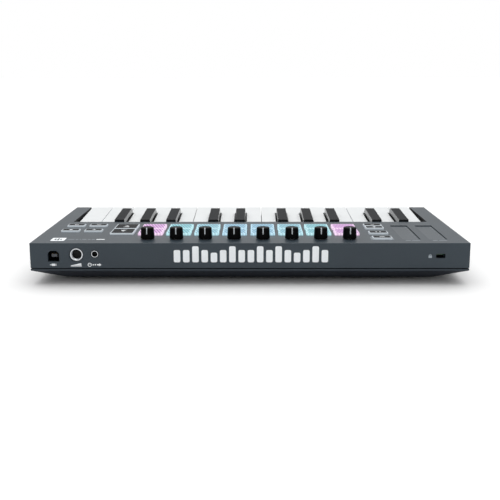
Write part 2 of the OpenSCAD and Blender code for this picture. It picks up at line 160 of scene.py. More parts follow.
def metal(name, colour, roughness, streak_mm, stretch=(1, 1, 1)):
    """Bare or plated metal, with fine streaks that stretch draws out along the way it was worked."""
    made, tree, place, shader = blank(name)
    along = add(tree, "ShaderNodeMapping", {"Vector": place}, {"Scale": stretch})
    streak = add(tree, "ShaderNodeTexNoise", {"Vector": along.outputs["Vector"]},
                 {"Scale": per(streak_mm), "Detail": 4.0})
    gloss = add(tree, "ShaderNodeMapRange", {"Value": streak.outputs["Fac"]},
                {"To Min": roughness * 0.7, "To Max": roughness * 1.4})
    tree.links.new(gloss.outputs["Result"], shader.inputs["Roughness"])
    shader.inputs["Base Color"].default_value = linear(colour)
    shader.inputs["Metallic"].default_value = 1.0
    return made


def white_key_abs():
    """Polished white ABS, a touch warm, with the faint ripple of a big flat moulding."""
    made, tree, place, shader = blank("polished_white_key_abs")
    cloud = add(tree, "ShaderNodeTexNoise", {"Vector": place},
                {"Scale": per(KEY_FLOW_MARK_MM), "Detail": 2.0})
    tone = add(tree, "ShaderNodeValToRGB", {"Fac": cloud.outputs["Fac"]},
               stops=[(0.35, linear("#e6e9ea")), (0.7, linear("#eaedee"))])
    ripple = add(tree, "ShaderNodeBump", {"Height": cloud.outputs["Fac"]},
                 {"Strength": 0.2, "Distance": 0.05 * MM})
    tree.links.new(tone.outputs["Color"], shader.inputs["Base Color"])
    tree.links.new(ripple.outputs["Normal"], shader.inputs["Normal"])
    shader.inputs["Roughness"].default_value = 0.22
    shader.inputs["IOR"].default_value = 1.54
    return made


def lit_silicone(name, glow, rim, body, ribbed=1.0):
    """Milky silicone that gives off light: slanting ribs on its face, brighter at its edges. Over the pads'
    lamps this is real light, brighter where the wall is thin; the buttons have no lamp, and their glow is
    painted light.

    The colours are the light from its face and from its rim, and the silicone's own.
    """
    made, tree, place, shader = blank(name)
    across = add(tree, "ShaderNodeTexCoord").outputs["Generated"]
    split = add(tree, "ShaderNodeSeparateXYZ", {"Vector": across})
    # How far out a point is: 0 in the middle of the face, 0.5 at its edge
    reach = []
    for axis in ("X", "Y"):
        offset = add(tree, "ShaderNodeMath", {0: split.outputs[axis]}, {1: 0.5}, operation="SUBTRACT")
        reach.append(add(tree, "ShaderNodeMath", {0: offset.outputs[0]}, operation="ABSOLUTE"))
    edge = add(tree, "ShaderNodeMath", {0: reach[0].outputs[0], 1: reach[1].outputs[0]},
               operation="MAXIMUM")
    light = add(tree, "ShaderNodeValToRGB", {"Fac": edge.outputs[0]},
                stops=[(0.38, linear(glow)), (0.49, linear(rim))])
    # The ribs lean a little from the front-to-back line. A wave texture repeats every pi / 10 of its scale
    slanted = add(tree, "ShaderNodeMapping", {"Vector": place},
                  {"Rotation": (0, 0, math.radians(RIB_LEAN_DEG))})
    ribs = add(tree, "ShaderNodeTexWave", {"Vector": slanted.outputs["Vector"]},
               {"Scale": per(RIB_PITCH_MM) * math.pi / 10, "Distortion": 0.3, "Detail": 1.0,
                "Detail Scale": 2.0})
    depth = add(tree, "ShaderNodeMapRange", {"Value": ribs.outputs["Fac"]},
                {"To Min": 1 - 0.6 * ribbed, "To Max": 1 + 0.45 * ribbed})
    # The ribs stop short of the edge, which is smooth
    smooth = add(tree, "ShaderNodeMapRange", {"Value": edge.outputs[0]},
                 {"From Min": 0.435, "From Max": 0.46, "To Max": 1.0})
    share = add(tree, "ShaderNodeMath", {0: depth.outputs["Result"], 1: smooth.outputs["Result"]},
                operation="MAXIMUM")
    # The light it gives: lamp light on the pads, painted glow on the buttons
    lamp = add(tree, "ShaderNodeVectorMath", {0: light.outputs["Color"], 1: share.outputs[0]},
               operation="MULTIPLY")
    bump = add(tree, "ShaderNodeBump", {"Height": ribs.outputs["Fac"]},
               {"Strength": 0.4 * ribbed, "Distance": 0.08 * MM})
    tree.links.new(lamp.outputs["Vector"], shader.inputs["Emission Color"])
    tree.links.new(bump.outputs["Normal"], shader.inputs["Normal"])
    shader.inputs["Emission Strength"].default_value = 1.0
    shader.inputs["Base Color"].default_value = linear(body)
    shader.inputs["Roughness"].default_value = 0.55
    shader.inputs["Specular IOR Level"].default_value = 0.3
    shader.inputs["IOR"].default_value = 1.43
    return made


def ink(name, colour, roughness=0.55):
    """Pad-printed ink: flat colour with the pinholes and thin spots of a real print."""
    made, tree, place, shader = blank(name)
    spots = add(tree, "ShaderNodeTexNoise", {"Vector": place}, {"Scale": per(PRINT_SPOT_MM), "Detail": 2.0})
    base = linear(colour)
    thin = tuple(c * 0.95 for c in base[:3]) + (1.0,)
    tone = add(tree, "ShaderNodeValToRGB", {"Fac": spots.outputs["Fac"]}, stops=[(0.3, thin), (0.5, base)])
    tree.links.new(tone.outputs["Color"], shader.inputs["Base Color"])
    shader.inputs["Roughness"].default_value = roughness
    shader.inputs["IOR"].default_value = 1.5
    return made


def wool_felt():
    """Pressed wool felt: short tangled fibres and a soft sheen."""
    made, tree, place, shader = blank("pressed_wool_felt")
    fibre = add(tree, "ShaderNodeTexNoise", {"Vector": place},
                {"Scale": per(FELT_FIBRE_MM), "Detail": 6.0, "Roughness": 0.7})
    tone = add(tree, "ShaderNodeValToRGB", {"Fac": fibre.outputs["Fac"]},
               stops=[(0.3, linear("#6e1f22")), (0.7, linear("#a2383a"))])
    bump = add(tree, "ShaderNodeBump", {"Height": fibre.outputs["Fac"]},
               {"Strength": 0.8, "Distance": 0.2 * MM})
    tree.links.new(tone.outputs["Color"], shader.inputs["Base Color"])
    tree.links.new(bump.outputs["Normal"], shader.inputs["Normal"])
    shader.inputs["Roughness"].default_value = 0.95
    shader.inputs["Sheen Weight"].default_value = 0.4
    return made


def circuit_board():
    """Glass-epoxy board under green solder mask, with copper tracks showing through as darker lines."""
    made, tree, place, shader = blank("green_solder_mask_board")
    tracks = add(tree, "ShaderNodeTexBrick", {"Vector": place},
                 {"Scale": per(TRACK_PITCH_MM), "Mortar Size": 0.06, "Color1": linear("#2f7a4c"),
                  "Color2": linear("#2a7046"), "Mortar": linear("#1d5233")})
    tree.links.new(tracks.outputs["Color"], shader.inputs["Base Color"])
    shader.inputs["Roughness"].default_value = 0.3
    shader.inputs["IOR"].default_value = 1.52
    return made


# Each moulded finish: name, colour, the tone it drifts to, roughness, grain size and grain depth in mm

# ABS from a spark-eroded tool, left as moulded: an even satin grey that takes light with no sharp glints
CASE_TOP = moulded("charcoal_spark_grain_abs", "#2f3941", "#323d45", 0.4, 0.35, 0.02, shine=0.3)
# The same grain on the lower shell, duller and bluer, and darker as painted shade: the tray's down-facing
# slopes and base are coloured as if sunk in its shadow
CASE_BASE_PAINTED_SHADE = moulded("slate_spark_grain_abs_painted_shade", "#181f29", "#1a222c", 0.5, 0.35, 0.02, shine=0.2)
# Painted shade on the shell's inner walls beside the keys: near black, so that they read as a dark gap in
# shadow, not as a lit wall
KEYBED_WALL_PAINTED_SHADE = moulded("keybed_wall_painted_shade", "#050607", "#08090a", 0.6, 0.4, 0.02, shine=0.15)
# Black key caps, matt where the finger lies: a soft dark grey top without highlights
KEY_TOP_BLACK = moulded("matt_black_key_top", "#0a0e12", "#0d1115", 0.6, 0.4, 0.02, shine=0.09)
# The same caps from the tool's polished sides: glossy black flanks that mirror the white keys
KEY_SIDE_BLACK = moulded("polished_black_key_side", "#0c0d0e", "#0f1011", 0.16, 0.3, 0.004)
# Soft-touch elastomer over the knobs: the deepest black here, with hardly a highlight
KNOB_SKIN = moulded("soft_black_knob_tpe", "#030304", "#050506", 0.45, 0.25, 0.01, shine=0.05)
# Printed line on each knob: a clear off-white mark
POINTER_INK = ink("grey_white_pointer_ink", "#bcc3c8")
# Glass-filled nylon of the keybed frame: dull, slightly mottled black
CHASSIS_NYLON = moulded("black_glass_filled_nylon", "#17181a", "#1c1d20", 0.6, 0.5, 0.03)
# Nylon of the socket bodies: black enough for a bore to look empty
SOCKET_BLACK = moulded("black_socket_nylon", "#060707", "#0a0b0b", 0.5, 0.4, 0.02, shine=0.2)
# The USB socket's tongue: a mid grey block in its dark mouth
TONGUE_GREY = moulded("grey_socket_tongue", "#484c52", "#4f5359", 0.45, 0.4, 0.02)
# Moulded rubber of the feet: chalky black with no shine
FOOT_RUBBER = moulded("matt_foot_rubber", "#141516", "#18191a", 0.85, 0.5, 0.05, ior=1.52)
# Opaque ink over a button's face: black, so that only the rim is milky
BUTTON_FACE = moulded("dark_button_face_ink", "#0a0c0f", "#0d0f12", 0.55, 0.4, 0.02, shine=0.08)
# Smoked film over the touch strips: a little smoother than the panel, and nearly its colour
STRIP_FILM = moulded("smoked_strip_film", "#2b3740", "#2e3a43", 0.36, 0.3, 0.01)
# Undyed silicone of the dome strip and the pad mat: cream and slightly waxy
CONTACT_SILICONE = moulded("cream_contact_silicone", "#cfcfc4", "#d8d8ce", 0.55, 0.6, 0.02, ior=1.43)
# Phenolic bodies of the potentiometers: dull navy blue
POT_BLUE = moulded("blue_potentiometer_phenolic", "#27364a", "#2d3e54", 0.45, 0.5, 0.02)
# White key tops: clean white, with long soft reflections
KEY_WHITE = white_key_abs()
# Zinc-plated screws and shafts: pale grey and slightly cloudy
STEEL = metal("zinc_plated_steel", "#b9bbbd", 0.32, 0.5)
# Drawn rod: brighter, with streaks along its length
ROD_STEEL = metal("drawn_steel_rod", "#c4c6c8", 0.22, 0.3, (0.02, 1, 1))
# Nickel plate on the jack rims: a bright, nearly clear mirror
NICKEL = metal("bright_nickel_plate", "#c9ccd0", 0.16, 0.4)
# Gold flash on the contacts: small warm glints
GOLD = metal("gold_flash_contacts", "#d9b45b", 0.2, 0.3)
# Opaque print on the case: crisp white, a little less than pure
PRINT_WHITE = ink("white_pad_print_ink", "#f0f4f7")
# Thinner grey print: marks that stay behind the white ones
PRINT_PALE = ink("pale_grey_pad_print_ink", "#98a1a8")
# Felt under the keys: dark red and fuzzy
FELT = wool_felt()
# Circuit boards: glossy green with darker lines
BOARD = circuit_board()
# Milky button silicone with painted glow: the buttons are unlit, yet the grey rim that frames each one gives
# off light
BUTTON_SILICONE_PAINTED_GLOW = lit_silicone("milky_button_silicone_painted_glow", "#4a4f53", "#858c91", "#a9afb4", ribbed=0.0)
# The pads' silicone over coloured lamps: pastel squares, ribbed, with a paler rim
PAD_PINK = lit_silicone("pink_lit_pad_silicone", "#ba84c0", "#dcc0da", "#5f5a63")
PAD_CYAN = lit_silicone("cyan_lit_pad_silicone", "#61aab6", "#a8d2d8", "#5a6164")
PAD_SKY = lit_silicone("sky_lit_pad_silicone", "#6ca8b9", "#a8cfd8", "#5a6065")
PAD_BLUE = lit_silicone("blue_lit_pad_silicone", "#6ca2bb", "#a8cbda", "#5a5f66")


# ---------------------------------------------------------------- mesh helpers

SEAM_GAP = 0.002 * MM     # points closer than this are one point
FLAT_DEG = 0.3            # faces that meet at less are one face
CORNER_DEG = 25           # edges sharper than this may be rounded
SHARP_DEG = 32            # faces that meet at more are shaded apart
SMALLEST_ROUND = 0.05 * MM
CORNER_STEPS = 6


def weighted_normals(mesh):
    """Corner normals that lean towards the larger faces, so that a flat face stays flat beside its rounds."""
    limit = math.cos(math.radians(SHARP_DEG))
    areas = {f: f.calc_area() for f in mesh.faces}
    normals = []
    for face in mesh.faces:
        for vert in face.verts:
            total = Vector()
            for other in vert.link_faces:
                if other.normal.dot(face.normal) > limit:
                    total += other.normal * areas[other]
            normals.append(total.normalized() if total.length > 0 else face.normal.copy())
    return normals


def make_piece(name, mesh, body, slot, *finishes, replaces=()):
    """Turns a bmesh into a shaded piece that rides on a body. Its faces pick their finish by number."""
    bmesh.ops.recalc_face_normals(mesh, faces=mesh.faces)
    normals = weighted_normals(mesh)
    data = bpy.data.meshes.new(name)
    mesh.to_mesh(data)
    mesh.free()
    data.polygons.foreach_set("use_smooth", [True] * len(data.polygons))
    data.normals_split_custom_set(normals)
    for finish in finishes:
        data.materials.append(finish)
    piece = bpy.data.objects.new(name, data)
    bpy.context.scene.collection.objects.link(piece)
    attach(piece, body)
    if replaces:
        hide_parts(*replaces)


def loft(mesh, rings, place, endless=False):
    """Skins a stack of rings that have equal point counts, and closes its ends, or joins them if endless."""
    rows = [[mesh.verts.new(place @ Vector(p)) for p in ring] for ring in rings]
    count = len(rows[0])
    for lower, upper in zip(rows, rows[1:] + (rows[:1] if endless else [])):
        for i in range(count):
            j = (i + 1) % count
            mesh.faces.new((lower[i], lower[j], upper[j], upper[i]))
    if not endless:
        mesh.faces.new(rows[0][::-1])
        mesh.faces.new(rows[-1])


def rounded(width, depth, radius):
    """Anti-clockwise outline of a rectangle with round corners."""
    points = []
    for corner, (sx, sy) in enumerate(((1, 1), (-1, 1), (-1, -1), (1, -1))):
        for step in range(CORNER_STEPS + 1):
            a = math.radians(90 * corner + 90 * step / CORNER_STEPS)
            points.append((sx * (width / 2 - radius) + radius * math.cos(a),
                           sy * (depth / 2 - radius) + radius * math.sin(a)))
    return points


def block(mesh, width, depth, radius, layers, place):
    """A round-cornered block whose outline is drawn in by layers of (inset, height)."""
    rings = []
    for inset, height in layers:
        outline = rounded(width - 2 * inset, depth - 2 * inset, max(radius - inset, SMALLEST_ROUND))
        rings.append([(x, y, height) for x, y in outline])
    loft(mesh, rings, place)


def quarter_turn(steps):
    """The angles of a quarter turn in equal steps."""
    return [math.pi / 2 * s / steps for s in range(steps + 1)]


def edge_layers(top, radius):
    """Layers that round an upper edge over into a flat top."""
    return [(radius * (1 - math.cos(a)), top - radius * (1 - math.sin(a))) for a in quarter_turn(4)]


def full_turn(steps):
    """The angles of a full turn in equal steps, without the last, which is the first again."""
    return [2 * math.pi * s / steps for s in range(steps)]


def turn(mesh, profile, place, steps=64, endless=False):
    """Spins a profile of (radius, height) about the local Z axis. An endless profile makes a ring."""
    rings = [[(r * math.cos(a), r * math.sin(a), z) for a in full_turn(steps)] for r, z in profile]
    loft(mesh, rings, place, endless)


def slab(mesh, patches, low, high, place):
    """Gives a set of flat, edge-sharing patches one thickness, with walls only round the outside."""
    grid = 1e7     # steps in a metre: patches share a corner if it falls on the same step

    def key(p):
        return round(p[0] * grid), round(p[1] * grid)

    under, over, uses = {}, {}, {}
    for patch in patches:
        for x, y in patch:
            k = key((x, y))
            if k not in under:
                under[k] = mesh.verts.new(place @ Vector((x, y, low)))
                over[k] = mesh.verts.new(place @ Vector((x, y, high)))
        keys = [key(p) for p in patch]
        mesh.faces.new([over[k] for k in keys])
        mesh.faces.new([under[k] for k in reversed(keys)])
        for a, b in zip(keys, keys[1:] + keys[:1]):
            uses[frozenset((a, b))] = (a, b) if frozenset((a, b)) not in uses else None
    for pair in filter(None, uses.values()):
        a, b = pair
        mesh.faces.new((under[a], under[b], over[b], over[a]))


def round_over(mesh, edges, radius_mm, segments):
    """Rounds the given edges, as a mould's own corners do."""
    bmesh.ops.bevel(mesh, geom=edges, offset=radius_mm * MM, segments=segments, profile=0.5,
                    affect="EDGES", clamp_overlap=True)


def refined(node, edge_mm, wanted, segments=2):
    """The node's own shape, cleaned of its seams, with a small round on the edges that are wanted."""
    mesh = bmesh.new()
    mesh.from_mesh(frame["nodes"][node].data)
    bmesh.ops.remove_doubles(mesh, verts=mesh.verts, dist=SEAM_GAP)
    bmesh.ops.dissolve_limit(mesh, angle_limit=math.radians(FLAT_DEG), verts=mesh.verts, edges=mesh.edges)
    picked = [e for e in mesh.edges
              if len(e.link_faces) == 2 and e.calc_face_angle(0) > math.radians(CORNER_DEG) and wanted(e)]
    round_over(mesh, picked, edge_mm, segments)
    return mesh


def on_rear(x, z, y=REAR_Y):
    """A place on the rear wall, as read from behind: local x to that reader's right, y up, z outward."""
    return Matrix(((-1, 0, 0, x), (0, 0, 1, y), (0, 1, 0, z), (0, 0, 0, 1)))


def on_panel(x, y, z=PANEL_Z):
    """A place on the control panel: local z is the height over it."""
    return Matrix.Translation((x, y, z))


# ---------------------------------------------------------------- printed shapes
# Each is a list of flat patches, in metres about (x, y)

def bar(x, y, width, height):
    """A square-cornered bar."""
    return [[(x - width / 2, y - height / 2), (x + width / 2, y - height / 2),
             (x + width / 2, y + height / 2), (x - width / 2, y + height / 2)]]


def pill(x, y, width, height, radius=None):
    """A bar with round corners, or with nearly half-round ends where no radius is given."""
    radius = min(width, height) / 2 * 0.98 if radius is None else radius
    return [[(x + px, y + py) for px, py in rounded(width, height, radius)]]


def disc(x, y, radius, steps=20):
    """A filled round dot."""
    return [[(x + radius * math.cos(a), y + radius * math.sin(a)) for a in full_turn(steps)]]


def arc_band(x, y, outer, inner, start=0.0, end=360.0, steps=24):
    """A band between two radii, as a run of four-sided patches."""
    def point(radius, step):
        a = math.radians(start + (end - start) * step / steps)
        return x + radius * math.cos(a), y + radius * math.sin(a)
    return [[point(inner, s), point(outer, s), point(outer, s + 1), point(inner, s + 1)]
            for s in range(steps)]


def frame_band(width, height, radius, line):
    """The outline of a round-cornered rectangle, line wide."""
    outer = rounded(width, height, radius)
    inner = rounded(width - 2 * line, height - 2 * line, max(radius - line, SMALLEST_ROUND))
    count = len(outer)
    return [[inner[i], outer[i], outer[(i + 1) % count], inner[(i + 1) % count]] for i in range(count)]


def triangle(x, y, size, up=1):
    """An arrow head that points up, or down where up is -1."""
    foot, tip = y - up * size * 0.4, y + up * size * 0.5
    return [[(x - size / 2, foot), (x + size / 2, foot), (x, tip)][::up]]


def printed(name, patches, place, finish=PRINT_WHITE, body="case", slot="case_top"):
    """One layer of print, let in by a hair so that it has no gap under it."""
    mesh = bmesh.new()
    slab(mesh, patches, -PRINT_SUNK, PRINT_THICK, place)
    make_piece(name, mesh, body, slot, finish)


# ---------------------------------------------------------------- shells

def all_near(edge, axis, place):
    """Whether both ends of an edge lie at one place along an axis (0, 1 or 2)."""
    return all(abs(v.co[axis] - place) < NEAR for v in edge.verts)


def upper_shell():
    """The upper shell, with a small round on every opening in its panel and its rear wall."""
    wall_low, wall_high = CASE_LOW.z + 1 * MM, PANEL_Z - 1.5 * MM

    def opening(e):
        in_wall = all_near(e, 1, REAR_Y) and all(wall_low < v.co.z < wall_high for v in e.verts)
        return in_wall or all_near(e, 2, PANEL_Z)

    shell = refined("top_case", 0.18, opening)
    # The key window's inner walls take the painted shade
    for f in shell.faces:
        where = f.calc_center_median()
        looks_inward = abs(f.normal.x) > 0.9 and where.x * f.normal.x < 0
        if looks_inward and where.y < KEYBED_REAR and abs(where.x) < KEYBED_SIDE:
            f.material_index = 1
    make_piece("upper_shell", shell, "case", "case_top", CASE_TOP, KEYBED_WALL_PAINTED_SHADE, replaces=["top_case"])


def lower_shell():
    """The lower shell: a small round on its long outer edges, a wide one where its slopes meet its base."""
    under_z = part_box("bottom_case")[0].z

    def tray_rim(e):
        return all_near(e, 2, under_z) and any(-0.95 < f.normal.z < -0.1 for f in e.link_faces)

    def outer_edge(e):
        outward = all(f.calc_center_median().xy.dot(f.normal.xy) > -1e-9 and f.normal.z < 0.5
                      for f in e.link_faces)
        upright = min(f.normal.z for f in e.link_faces) < 0.1
        return outward and upright and e.is_convex and e.calc_length() > 20 * MM and not tray_rim(e)

    shell = refined("bottom_case", 0.5, outer_edge, 3)
    round_over(shell, [e for e in shell.edges if tray_rim(e)], 3.4, 6)
    # Its upright lip takes the upper shell's finish; the faces that look down keep the darker painted shade
    for f in shell.faces:
        if abs(f.normal.z) < 0.3:
            f.material_index = 1
    make_piece("lower_shell", shell, "case", "case_base", CASE_BASE_PAINTED_SHADE, CASE_TOP, replaces=["bottom_case"])


# ---------------------------------------------------------------- keys

def white_keys():
    """White keys with a soft edge round the part that the panel leaves open and on their front corners."""
    covered = 15 * MM     # the rear end, which the panel covers
    for node in WHITE_KEYS:
        low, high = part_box(node)

        def outer_top(e):
            on_top = any(f.normal.z > 0.9 for f in e.link_faces)
            return on_top and e.is_convex and all(v.co.y < high.y - covered for v in e.verts)

        def front_corner(e):
            return e.is_convex and all(v.co.y < low.y + 0.05 * MM for v in e.verts)

        mesh = refined(node, 0.4, lambda e: outer_top(e) or front_corner(e), 3)
        make_piece(node.replace("key_", "white_"), mesh, body_of_node(node), "key_white", KEY_WHITE,
                   replaces=[node])


def black_keys():
    """Black keys with a soft edge on the cap, matt on top and polished on their flanks."""
    def cap_edge(e):
        return e.is_convex and all(v.co.z > PANEL_Z + 0.2 * MM for v in e.verts)

    for node in BLACK_KEYS:
        mesh = refined(node, 0.35, cap_edge, 3)
        for f in mesh.faces:
            f.material_index = 0 if f.normal.z > 0.8 else 1
        make_piece(node.replace("key_", "black_"), mesh, body_of_node(node), "key_black", KEY_TOP_BLACK,
                   KEY_SIDE_BLACK, replaces=[node])


# ---------------------------------------------------------------- knobs

def knobs():
    """Eight caps with a round shoulder and a dished top, each with its printed pointer and steel shaft."""
    foot, foot_chamfer = 0.5 * MM, 0.25 * MM     # the gap over the panel, and the cap's lower edge
    shoulder, taper = 1.0 * MM, 0.35 * MM
    bore_r, bore_roof, middle_r = 3.02 * MM, 3.0 * MM, 0.3 * MM
    pointer_start, pointer_foot, pointer_half = 3.1 * MM, 4.4 * MM, 0.4 * MM
    sunk, proud = 0.06 * MM, 0.05 * MM     # the pointer's inner and outer skin, from the cap's own
    shaft_r = 3.0 * MM
    for node in KNOBS:
        low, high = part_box(node)
        body = body_of_node(node)
        base_r = (high.x - low.x) / 2
        top_r = base_r - taper
        tall = high.z - PANEL_Z
        place = on_panel(*centre(node).xy)
        side = [(base_r - foot_chamfer, foot), (base_r, foot + foot_chamfer)]
        curve = [(top_r - shoulder + shoulder * math.cos(a), tall - shoulder + shoulder * math.sin(a))
                 for a in quarter_turn(8)]
        dish = [(2.6 * MM, tall - 0.02 * MM), (2.3 * MM, tall - 0.18 * MM), (middle_r, tall - 0.22 * MM)]
        bore = [(middle_r, tall - bore_roof), (bore_r, tall - bore_roof), (bore_r, foot)]
        cap = bmesh.new()
        turn(cap, bore + side + curve + dish, place)
        make_piece(f"{node}_cap", cap, body, "knob_plastic", KNOB_SKIN, replaces=[node])

        # The pointer runs from the rim of the top down the rear side, to mid height
        line = [(pointer_start, tall)] + curve[::-1]
        slope = (top_r - base_r) / (tall - shoulder - foot)
        line.append((top_r - slope * (tall - shoulder - pointer_foot), pointer_foot))

        def skin(path, off, lift):
            return [(off, math.sqrt(max(r * r - off * off, 0)) + lift, z + lift) for r, z in path]

        pointer = bmesh.new()
        across = [pointer_half * share for share in (-1, -0.5, 0, 0.5, 1)]
        loft(pointer, [skin(line, off, -sunk) + skin(line[::-1], off, proud) for off in across], place)
        make_piece(f"{node}_pointer", pointer, body, "knob_plastic", POINTER_INK)

        end = low.z - PANEL_Z
        shaft = bmesh.new()
        turn(shaft, [(2.6 * MM, end), (shaft_r, end + 0.4 * MM), (shaft_r, tall - 3.5 * MM),
                     (2.7 * MM, tall - 3.1 * MM)], place, 32)
        make_piece(f"{node}_shaft", shaft, body, "knob_plastic", STEEL)


# ---------------------------------------------------------------- pads

def pads():
    """Sixteen lit pad faces, one moulded mat under them."""
    low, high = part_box("pad_mat")
    pad, row, corner = 19.1 * MM, 21.9 * MM, 1.2 * MM
    middle = (low.y + high.y) / 2
    top, under = high.z - PANEL_Z, low.z - PANEL_Z
    skirt, sheet_top = -1.5 * MM, -2.7 * MM     # heights under the panel's top
    crown = [(1.6 * MM, top - 0.03 * MM), (3 * MM, top)]
    layers = [(0, skirt)] + edge_layers(top, 0.6 * MM) + crown
    colours = [PAD_PINK, PAD_CYAN, PAD_SKY, PAD_BLUE, PAD_BLUE, PAD_SKY, PAD_CYAN, PAD_PINK]
    for k, finish in enumerate(colours):
        for r, shift in enumerate((-0.5, 0.5)):
            mesh = bmesh.new()
            block(mesh, pad, pad, corner, layers, on_panel(centre(KNOBS[k]).x, middle + shift * row))
            make_piece(f"pad_{r + 1}_{k + 1}", mesh, "case", "pad_silicone", finish)
    mat = bmesh.new()
    block(mat, high.x - low.x, high.y - low.y, 2 * MM,
          [(0.2 * MM, under), (0, under + 0.2 * MM), (0, sheet_top)],
          on_panel((low.x + high.x) / 2, middle))
    make_piece("pad_mat_sheet", mat, "case", "pad_silicone", CONTACT_SILICONE, replaces=["pad_mat"])


# ---------------------------------------------------------------- buttons

def button_icons():
    """A plain pictogram for each button, in metres about the button's middle."""
    m = MM
    return {
        "button_right_1": bar(0, 0, 3.4 * m, 0.7 * m) + bar(0, -1.4 * m, 3.4 * m, 0.4 * m),
        "button_right_2": arc_band(0, 0, 1.5 * m, 0.9 * m),
        "button_right_3": [[(-1.2 * m, -1.4 * m), (1.6 * m, 0), (-1.2 * m, 1.4 * m)]],
        "button_right_4": disc(0, 0, 1.4 * m),
        "button_down": triangle(0, 0, 4.2 * m, -1) + bar(0, 4.6 * m, 5 * m, 0.6 * m),
        "button_up": triangle(0, 0, 4.2 * m, 1) + bar(0, -4.6 * m, 5 * m, 0.6 * m),
        "button_left_1": bar(0, 0, 2.8 * m, 0.7 * m),
        "button_left_2": bar(0, 0, 2.8 * m, 0.7 * m) + bar(0, 1.15 * m, 0.7 * m, 1.6 * m)
                         + bar(0, -1.15 * m, 0.7 * m, 1.6 * m),
        "button_left_3": bar(-1.5 * m, 0, 1.2 * m, 1.8 * m) + bar(1.5 * m, 0, 1.2 * m, 1.8 * m),
        "button_left_4": pill(0, 0, 4 * m, 1.3 * m),
    }


def buttons():
    """Milky button caps over a flange and a plunger, each with a dark printed face and its pictogram."""
    icons = button_icons()
    flange, flange_lip = -3.4 * MM, 1 * MM     # the flange's underside, and how far it stands out at each end
    plunger = 3 * MM
    rim, face_thick = 0.9 * MM, 0.03 * MM
    for node in BUTTONS:
        low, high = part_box(node)
        body = body_of_node(node)
        x, y = centre(node).xy
        place = on_panel(x, y)
        width, depth = high.x - low.x - 2 * flange_lip, high.y - low.y
        top = high.z - PANEL_Z
        cap = bmesh.new()
        block(cap, width, depth, 1.0 * MM, [(0, flange + 0.6 * MM)] + edge_layers(top, 0.45 * MM), place)
        block(cap, width + 2 * flange_lip, depth, 0.6 * MM, [(0, flange), (0, flange + 0.58 * MM)], place)
        block(cap, plunger, plunger, 0.4 * MM, [(0, low.z - PANEL_Z), (0, flange - 0.02 * MM)], place)
        # The cap's silicone carries a painted glow, brightest at its rim
        make_piece(f"{node}_cap", cap, body, "button_silicone", BUTTON_SILICONE_PAINTED_GLOW, replaces=[node])
        face = bmesh.new()
        block(face, width - 2 * rim, depth - 2 * rim, 0.7 * MM,
              [(0, top - 0.02 * MM), (0, top), (face_thick, top + face_thick)], place)
        make_piece(f"{node}_face", face, body, "button_silicone", BUTTON_FACE)
        printed(f"{node}_icon", icons[node], on_panel(x, y, PANEL_Z + top + face_thick), PRINT_WHITE, body,
                "button_silicone")


# ---------------------------------------------------------------- touch strips and panel prints

def touch_strips():
    """Two films let into the panel, each with a scale of marks and a plain label behind it."""
    low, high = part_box("touch_strips")
    width, depth, thick = 13.6 * MM, high.y - low.y, high.z - low.z
    middle = (low.y + high.y) / 2
    scale = [patch for k in range(-3, 4) for patch in pill(-5.2 * MM, k * 8 * MM, 1.6 * MM, 0.5 * MM)]
    label = pill(-2.6 * MM, 0, 6.2 * MM, 1.1 * MM) + pill(3.4 * MM, 0, 4.0 * MM, 1.1 * MM)
    strips = (("pitch", low.x + width / 2, ["touch_strips"]), ("level", high.x - width / 2, []))
    for name, x, replaces in strips:
        film = bmesh.new()
        block(film, width, depth, 0.8 * MM, [(0, 0), (0, thick - 0.1 * MM), (0.1 * MM, thick)],
              on_panel(x, middle, low.z))
        make_piece(f"{name}_strip_film", film, "case", "strip_film", STRIP_FILM, replaces=replaces)
        printed(f"{name}_strip_marks", scale, on_panel(x, middle, high.z), PRINT_PALE, slot="strip_film")
        printed(f"{name}_strip_label", label, on_panel(x, high.y + 4.2 * MM), PRINT_PALE)


def panel_prints():
    """The badge, the broken rule line beside it and the ring round the last left button."""
    m = MM
    badge = (146.2 * m, 71.6 * m)
    rule_start, rule_y, gap = 139.2 * m, 71.8 * m, 0.9
    printed("badge_plate", pill(0, 0, 10.6 * m, 11.6 * m, 1.4 * m), on_panel(*badge))
    mark = []
    for x, height in ((-2.1, 3.4), (0, 7.0), (2.1, 5.2)):
        mark += pill(x * m, 0, 1.4 * m, height * m)
    printed("badge_mark", mark, on_panel(*badge, PANEL_Z + 0.035 * m), CASE_TOP)
    dashes, x = [], rule_start
    for length in (5.2, 2.2, 1.0, 3.4, 2.2, 2.6):
        dashes += pill(x - length * m / 2, 0, length * m, 1.0 * m)
        x -= (length + gap) * m
    printed("badge_rule_line", dashes, on_panel(0, rule_y), PRINT_PALE)
    printed("badge_rule_end", pill(x - 3.2 * m, 0, 6.6 * m, 2.2 * m), on_panel(0, rule_y))
    ring = frame_band(17.0 * m, 11.3 * m, 1.6 * m, 0.4 * m)
    printed("shift_ring", ring, on_panel(*centre("button_left_4").xy), PRINT_PALE)


# ---------------------------------------------------------------- rear wall

